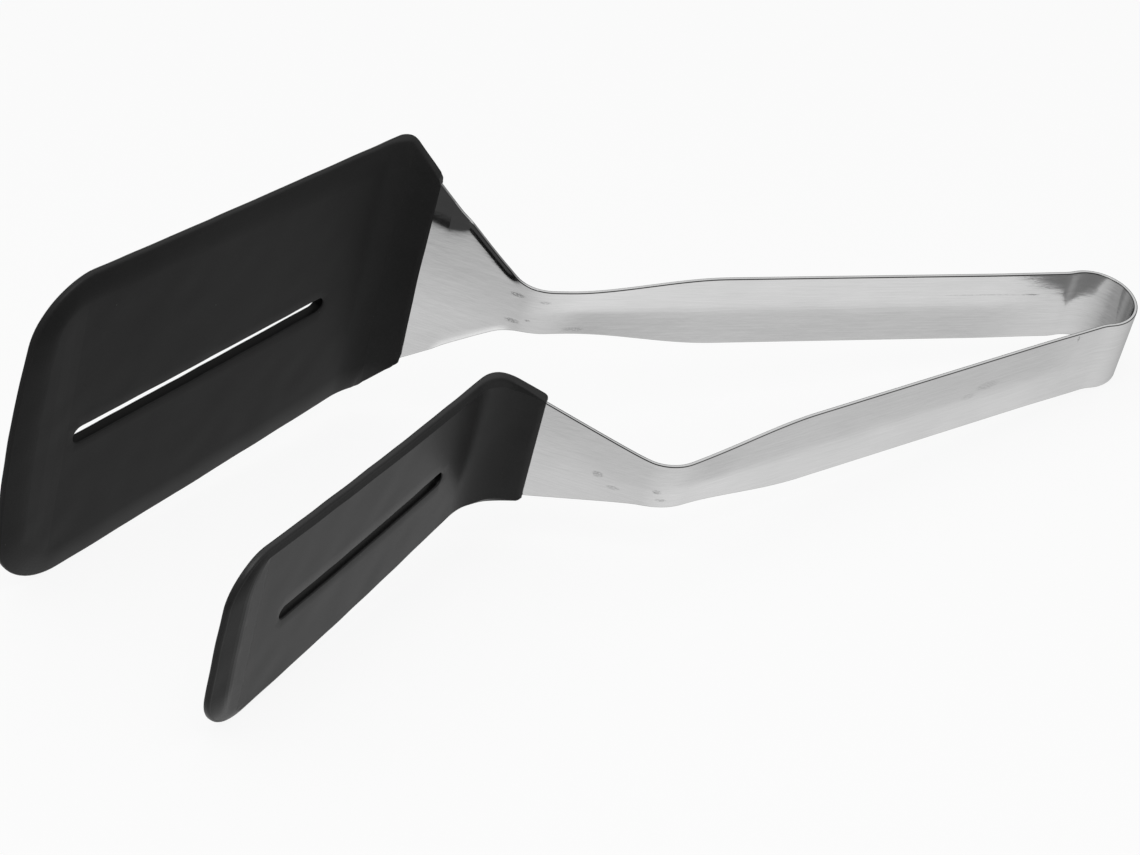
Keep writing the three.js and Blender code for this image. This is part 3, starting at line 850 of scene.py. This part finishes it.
@dataclass
class SiliconeBlade:
    """A blade moulded over the end of an arm: thin rounded edge, bevels and a flat slotted plateau."""

    arm: Arm
    name: str
    node: str
    finish: MouldedSilicone
    plateau_step: float = 3.0
    slot_rounding: float = 0.35
    mouth_corner: float = 1.1
    ragged_depth: float = 0.45
    ragged_reach: float = 4.0
    waviness: float = 0.12
    lay_gap: float = 40.0
    past_bend: float = 12.0
    net_half: float = 50.0
    border_gap: float = 0.8
    slot_gap: float = 1.0
    ragged_scale: Flat = (0.7, 2.0)
    wavy_scale: float = 0.12
    noise_layers: Flat = (9.0, 5.0)  # of the ragged mouth and the waves
    edge_angles: tuple[float, ...] = (0, 22, 45, 68, 90)
    slot_angles: tuple[float, ...] = (0, 30, 60, 90)
    bevel_rings: tuple[float, ...] = (0.16, 0.3, 0.45, 0.6, 0.75, 0.88, 0.95, 1.0)

    def through_bend(self) -> list[float]:
        """Distances from the neck that lie close together, through the bend and for a while past it."""
        start, end = self.arm.bend_start - self.arm.neck, self.arm.bend_end - self.arm.neck
        return spaced(start, end, 10) + spaced(end, end + self.past_bend, 12)[1:]

    def half_outline(self, corner: float, side_in: float, front_in: float, mouth_in: float) -> list[Flat]:
        """Half of the outline on the flat strip, from the mouth round the corner to the middle of the front.

        Args:
            corner: the front corner's radius.
            side_in: how far it is set in from the side.
            front_in: how far it is set in from the front.
            mouth_in: how far it is set in from the side at the mouth.

        Returns:
            (s, up) pairs.
        """
        arm = self.arm
        tilt = atan2(arm.front_width - arm.shoulder_width, 2 * (arm.front - arm.shoulder))
        centre = arm.front - corner
        centre_up = arm.side_half(centre) - corner / cos(tilt)

        def bowed(s: float, up: float) -> Flat:
            """The place with the front edge's bow added."""
            return s + arm.front_bow * (1 - (2 * up / arm.front_width) ** 2), up

        bend = self.through_bend()
        stations = spaced(arm.mouth, arm.mouth + self.mouth_corner, 5)
        stations += spaced(stations[-1], bend[0], 8)[1:] + bend[1:] + spaced(bend[-1], centre - 2, 32)[1:]
        half = []
        for s in stations:
            ease = smooth(s, arm.mouth, arm.shoulder)
            short = max(arm.mouth + self.mouth_corner - s, 0)
            rounding = self.mouth_corner - sqrt(max(self.mouth_corner ** 2 - short ** 2, 0))
            half.append((s, arm.blade_half(s) - mixed(mouth_in, side_in, ease) - rounding))
        turned = []
        for angle in spaced(pi / 2 + tilt, 0, 16):
            s = centre + (corner - front_in) * cos(angle)
            turned.append(bowed(s, centre_up + (corner - side_in) * sin(angle)))
        front = [bowed(arm.front - front_in, up) for up in spaced(centre_up, 0, 12)[1:]]
        return half + turned + front

    def outline(self, side_in: float, front_in: float, mouth_in: float) -> list[Flat]:
        """The whole outline, from the upper end of the mouth round to the lower end."""
        upper = self.half_outline(self.arm.upper_corner, side_in, front_in, mouth_in)
        lower = self.half_outline(self.arm.lower_corner, side_in, front_in, mouth_in)
        return upper + [(s, -up) for s, up in reversed(lower[:-1])]

    def rings(self) -> list[tuple[list[Flat], float, float, float, float]]:
        """The rings of one face: outline, thickness, mouth thickness, rim distance and share of the bevel."""
        arm, g = self.arm, self.arm.gauge
        made = []
        for angle in map(radians, self.edge_angles):
            inset = g.edge_rounding * (1 - cos(angle))
            drop = g.edge_rounding * (1 - sin(angle))
            outline = self.outline(inset, inset, inset / 2)
            made.append((outline, g.edge / 2 - drop, g.plateau / 2 - drop / 2, inset, 0.0))
        for share in self.bevel_rings:
            side = mixed(g.edge_rounding, arm.side_bevel, share)
            front = mixed(g.edge_rounding, arm.front_bevel, share)
            thick = mixed(g.edge, g.plateau, mixed(share, sin(share * pi / 2), arm.softness)) / 2
            outline = self.outline(side, front, mixed(g.edge_rounding / 2, g.mouth_lip / 2, share))
            made.append((outline, thick, g.plateau / 2, side, share))
        return made

    def relief(self, s: float, share: float) -> float:
        """The height that only the shading shows, for a share of the way from the rim to the plateau."""
        arm = self.arm
        side, front = arm.bevel_relief
        ahead = smooth(s, arm.front - arm.upper_corner, arm.front - arm.front_bevel / 2)
        share = mixed(share, sin(share * pi / 2), arm.softness)
        return share * mixed(side, front, ahead) * smooth(s, arm.mouth, arm.shoulder)

    def bulged(self, s: float) -> float:
        """How far the blade bows outwards between its bend and its front."""
        arm = self.arm
        bend = arm.bend_end - arm.neck
        u = min(max((s - bend) / (arm.front - bend), 0.0), 1.0)
        return arm.bulge * 4 * u * (1 - u)

    def filled(self, s: float, out: float) -> float:
        """The distance from the middle surface once the silicone rounds off the inside of the bend.

        Args:
            s: the distance from the neck.
            out: the distance from the middle surface without the rounding.

        Returns:
            The distance with it.
        """
        arm = self.arm
        thick = arm.gauge.plateau / 2
        half_turn = radians(arm.blade_angle - arm.fan_angle) / 2
        run = arm.bend_radius * tan(half_turn)
        past = max(arm.bend_start - arm.neck - s, s - arm.bend_end + arm.neck, -run) + run
        if out * arm.side <= 0 or past > (arm.fillet + thick) * tan(half_turn):
            return out
        x, y, heading = arm.line.at(arm.bend_start)
        corner = Vector((x + run * cos(heading), y + run * sin(heading)))
        middle = heading + half_turn
        centre = corner + Vector((-sin(middle), cos(middle))) * (arm.fillet + thick) / cos(half_turn)
        x, y, heading = arm.line.at(arm.neck + s)
        ahead = centre - Vector((x, y))
        level = ahead.dot(Vector((-sin(heading), cos(heading))))
        surface = level - sqrt(max(level ** 2 - ahead.length_squared + arm.fillet ** 2, 0))
        return out * max(surface / thick, 1)

    def point(self, draft: Draft, s: float, up: float, out: float, rim: float, share: float = 1.0) -> int:
        """Adds a point of the skin.

        Args:
            draft: the mesh.
            s: the distance from the neck.
            up: the place across the width.
            out: the distance from the middle surface.
            rim: the distance from the rim.
            share: the share of the way from the rim to the plateau.

        Returns:
            The point's number.
        """
        arm = self.arm
        near_mouth = 1 - smooth(s, arm.mouth, arm.mouth + self.ragged_reach)
        layers = [arm.side * layer for layer in self.noise_layers]
        ragged = noise.noise(Vector((up * self.ragged_scale[0], out * self.ragged_scale[1], layers[0])))
        ragged *= self.ragged_depth * near_mouth
        wavy = noise.noise(Vector((s * self.wavy_scale, up * self.wavy_scale, layers[1]))) * self.waviness
        rise = arm.fan_rise(arm.neck + s, up / arm.steel_half(arm.neck + s))
        place = arm.place(arm.neck + s - ragged, up, self.filled(s, out) + self.bulged(s) + rise + wavy)
        return draft.add(place, (s, up, out + self.lay_gap * arm.side), rim, self.relief(s, share))

    def slot_loop(self, grow: float) -> list[Flat]:
        """The slot's outline, grown outwards."""
        arm = self.arm
        rear, front = (width / 2 + grow for width in arm.slot_widths)
        start = arm.slot_start + arm.slot_widths[0] / 2
        end = arm.slot_start + arm.slot_length - arm.slot_widths[1] / 2
        low, high = arm.slot_offsets
        sides = spaced(0, 1, 30)[1:-1]
        upper = [(mixed(start, end, t), mixed(low, high, t) + mixed(rear, front, t)) for t in sides]
        lower = [(mixed(start, end, t), mixed(low, high, t) - mixed(rear, front, t)) for t in sides]
        turns = spaced(-pi / 2, pi / 2, 12)
        nose = [(end + front * cos(a), high - front * sin(a)) for a in turns]
        tail = [(start - rear * cos(a), low + rear * sin(a)) for a in turns]
        return upper + nose + lower[::-1] + tail

    def fill_plateau(self, draft: Draft, border: list[int], flat: list[Flat], hole: list[int], face: int) -> None:
        """Fills the plateau between its border and the slot with a fine net.

        Args:
            draft: the mesh.
            border: the border's points.
            flat: their places on the flat strip.
            hole: the slot rim's points.
            face: 1 for the outer face and -1 for the inner one.
        """
        arm = self.arm
        hole_flat = self.slot_loop(self.slot_rounding)
        bend = self.through_bend()
        columns = spaced(arm.mouth, bend[0], 10)[1:] + bend[1:]
        columns += stepped(bend[-1], arm.front - arm.front_bevel, self.plateau_step)[1:]
        inner = []
        for s in columns:
            for up in stepped(-self.net_half, self.net_half, self.plateau_step):
                if inside(flat, s, up, self.border_gap) and not inside(hole_flat, s, up, -self.slot_gap):
                    inner.append((s, up))
        thick = face * arm.gauge.plateau / 2
        numbers = border + hole + [self.point(draft, s, up, thick, PLATEAU) for s, up in inner]
        places = [Vector(place) for place in flat + hole_flat + inner]
        edges = []
        for first, count in ((0, len(flat)), (len(flat), len(hole))):
            edges += [(first + i, first + (i + 1) % count) for i in range(count)]
        _, _, triangles, origins, _, _ = delaunay_2d_cdt(places, edges, [], 1, 1e-6)
        for triangle in triangles:
            corners = [origins[i][0] for i in triangle]
            middle = sum((places[i] for i in corners), Vector((0, 0))) / 3
            if inside(flat, *middle, 0) and not inside(hole_flat, *middle, 0):
                draft.faces.append(tuple(numbers[i] for i in corners))

    def build(self) -> bpy.types.Object:
        """Builds the closed skin of the blade."""
        arm = self.arm
        draft = Draft()
        rings = self.rings()
        faces = {}
        for face in (1, -1):
            rows = []
            for outline, thick, mouth_thick, rim, share in rings:
                row = []
                for s, up in outline:
                    ease = smooth(s, arm.mouth, arm.shoulder)
                    out = face * mixed(mouth_thick, thick, ease)
                    row.append(self.point(draft, s, up, out, rim, share))
                rows.append(row)
            faces[face] = rows
            for a, b in zip(rows, rows[1:]):
                draft.bridge(a, b, closed=False)
            if arm.softness == 0:
                draft.crease(rows[-1])
        draft.bridge(faces[1][0], faces[-1][0], closed=False)
        slot_rows = self.slot_rows(draft)
        for face, hole in ((1, slot_rows[0]), (-1, slot_rows[-1])):
            self.fill_plateau(draft, faces[face][-1], rings[-1][0], hole, face)
        for a, b in zip(slot_rows, slot_rows[1:]):
            draft.bridge(a, b, closed=True)
        mouth = [row[0] for row in faces[1]] + [row[-1] for row in reversed(faces[1])]
        mouth += [row[-1] for row in faces[-1]] + [row[0] for row in reversed(faces[-1])]
        draft.faces.append(tuple(mouth))
        return draft.make(self.name, self.finish.make())

    def slot_rows(self, draft: Draft) -> list[list[int]]:
        """The rows of the slot's rounded rims and walls, from the outer face to the inner one."""
        thick = self.arm.gauge.plateau / 2
        r = self.slot_rounding
        levels = []
        for angle in map(radians, self.slot_angles):
            levels.append((r * (1 - sin(angle)), thick - r * (1 - cos(angle))))
        levels += [(grow, -out) for grow, out in reversed(levels)]
        return [
            [self.point(draft, s, up, out, mixed(SLOT_WALL, PLATEAU, grow / r)) for s, up in self.slot_loop(grow)]
            for grow, out in levels
        ]

    def dress(self) -> None:
        """Builds the blade and puts it in its node's place."""
        blade = self.build()
        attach(blade, self.arm.body.value)
        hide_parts(self.node)
        LOG.info("%s: %d faces", self.name, len(blade.data.polygons))


def inside(loop: list[Flat], x: float, y: float, margin: float) -> bool:
    """Whether a point lies in a loop, and further from it than the margin.

    Args:
        loop: the loop's corners.
        x: the point's x.
        y: the point's y.
        margin: the distance to keep inside the loop, or with a minus sign the distance by which it may miss it.

    Returns:
        True for a point inside.
    """
    crossings = False
    nearest = inf
    for (ax, ay), (bx, by) in zip(loop, loop[1:] + loop[:1]):
        if (ay > y) != (by > y) and x < (bx - ax) * (y - ay) / (by - ay) + ax:
            crossings = not crossings
        length = max((bx - ax) ** 2 + (by - ay) ** 2, 1e-12)
        t = min(max(((x - ax) * (bx - ax) + (y - ay) * (by - ay)) / length, 0), 1)
        nearest = min(nearest, hypot(ax + t * (bx - ax) - x, ay + t * (by - ay) - y))
    if margin < 0:
        return crossings or nearest < -margin
    return crossings and nearest > margin


@dataclass
class Studio:
    """A pale floor, a surround that is bright overhead and underfoot, and the camera of the photograph."""

    floor_size: float = 8.0
    floor_colour: float = 0.68
    white_seen: float = 0.9
    backdrop: float = 0.965
    levels: tuple[Flat, ...] = (
        (-1.0, 0.9), (-0.72, 0.64), (-0.45, 0.34), (-0.2, 0.3), (0.52, 0.3), (0.64, 0.95), (1.0, 0.95),
    )
    twice_mirrored: float = 0.7
    mirror_depths: Flat = (2.0, 3.0)
    room: Triple = (0.57, 0.82, 0.0)
    room_sides: Flat = (0.3, 0.6)
    room_foot: Flat = (-0.55, -0.35)
    room_shade: float = 0.88
    room_level: float = 0.02
    lamp_power: float = 4.0
    lamp_size: float = 0.6
    lamp_place: Triple = (0.18, 0.38, 0.85)
    eye: Triple = (628.82, 690.34, 689.2)
    right: Triple = (-0.889418, 0.409244, 0.203501)
    forward: Triple = (-0.437331, -0.632612, -0.639178)
    focal_pixels: float = 4305.05
    image_width: float = 1140.0
    sensor: float = 36.0

    def floor(self) -> None:
        """Lays the floor, white to the camera but for the shadow that falls on it."""
        half = self.floor_size / 2
        mesh = bpy.data.meshes.new("floor")
        corners = [(-half, -half, 0), (half, -half, 0), (half, half, 0), (-half, half, 0)]
        mesh.from_pydata(corners, [], [(0, 1, 2, 3)])
        paint = Paint("floor", Base_Color=grey(self.floor_colour), Roughness=0.9, Specular_IOR_Level=0.0)
        seen = paint.light_path("Is Camera Ray") * self.white_seen
        matt = Wire(paint, paint.shader.outputs[0])
        white = paint.node("ShaderNodeEmission", {}, {"Color": grey(1.0), "Strength": 1.0})
        paint.surface(paint.node("ShaderNodeMixShader", {}, {0: seen, 1: matt, 2: white}))
        mesh.materials.append(paint.material)
        floor = placed("floor", mesh)
        floor.visible_glossy = False

    def surround(self) -> None:
        """Lights the scene from all round, with a dim room behind the camera, and white to the camera."""
        world = bpy.data.worlds.new("surround")
        bpy.context.scene.world = world
        world.use_nodes = True
        sky = NodeBoard(world.node_tree)
        toward = sky.node("ShaderNodeTexCoord", {}, {}, "Generated")
        height = sky.split(toward, "Z")
        stops = [((z + 1) / 2, value) for z, value in self.levels]
        level = sky.node("ShaderNodeValToRGB", {"stops": stops}, {"Fac": height * 0.5 + 0.5})
        room = sky.vector("DOT_PRODUCT", toward, self.room, output="Value")
        shade = room.slide(*self.room_sides, 0.0, self.room_shade) * height.slide(*self.room_foot, 0.0, 1.0)
        colour = sky.blended(shade, level, grey(self.room_level))
        fade = sky.light_path("Ray Depth").slide(*self.mirror_depths, 1.0, self.twice_mirrored)
        light = sky.node("ShaderNodeBackground", {}, {"Color": colour, "Strength": fade})
        white = sky.node("ShaderNodeBackground", {}, {"Color": grey(self.backdrop)})
        sky.surface(sky.node("ShaderNodeMixShader", {}, {0: sky.light_path("Is Camera Ray"), 1: light, 2: white}))

    def lamp(self) -> None:
        """Hangs one large soft lamp over the camera's side of the tongs."""
        data = bpy.data.lights.new("soft_lamp", "AREA")
        data.energy = self.lamp_power
        data.size = self.lamp_size
        lamp = placed("soft_lamp", data)
        lamp.location = self.lamp_place
        lamp.rotation_euler = (-Vector(self.lamp_place)).to_track_quat("-Z", "Y").to_euler()

    def camera(self) -> None:
        """Sets the camera to the photograph's place, direction and lens."""
        data = bpy.data.cameras.new("camera")
        data.sensor_width = self.sensor
        data.lens = self.focal_pixels / self.image_width * self.sensor
        data.clip_start = 0.05
        camera = placed("camera", data)
        turn = turned(Vector(self.right), -Vector(self.forward))
        camera.matrix_world = STRIP @ Matrix.Translation(Vector(self.eye) * MM) @ turn
        bpy.context.scene.camera = camera
        bpy.context.scene.view_settings.view_transform = "Standard"

    def set_up(self) -> None:
        """Builds the floor, the light and the camera."""
        self.camera()
        self.floor()
        self.surround()
        self.lamp()
        LOG.info("studio: floor, surround and camera")


def main() -> None:
    """Builds the scene piece by piece."""
    logging.basicConfig(level=logging.INFO, format="%(message)s")
    Studio().set_up()
    SteelStrip(SatinSteel()).dress()
    # Painted shade: the wide blade's silicone is a less reflective copy of the narrow one's, with a lower index,
    # standing in for the shade that its face mirrors.
    shaded_wide_finish = MouldedSilicone("wide_silicone_painted_shade", index=1.16, roughness=0.36)
    SiliconeBlade(WIDE_ARM, "wide_blade_skin", "wide_blade", shaded_wide_finish).dress()
    SiliconeBlade(NARROW_ARM, "narrow_blade_skin", "narrow_blade", MouldedSilicone("narrow_silicone")).dress()


if __name__ == "__main__":
    main()
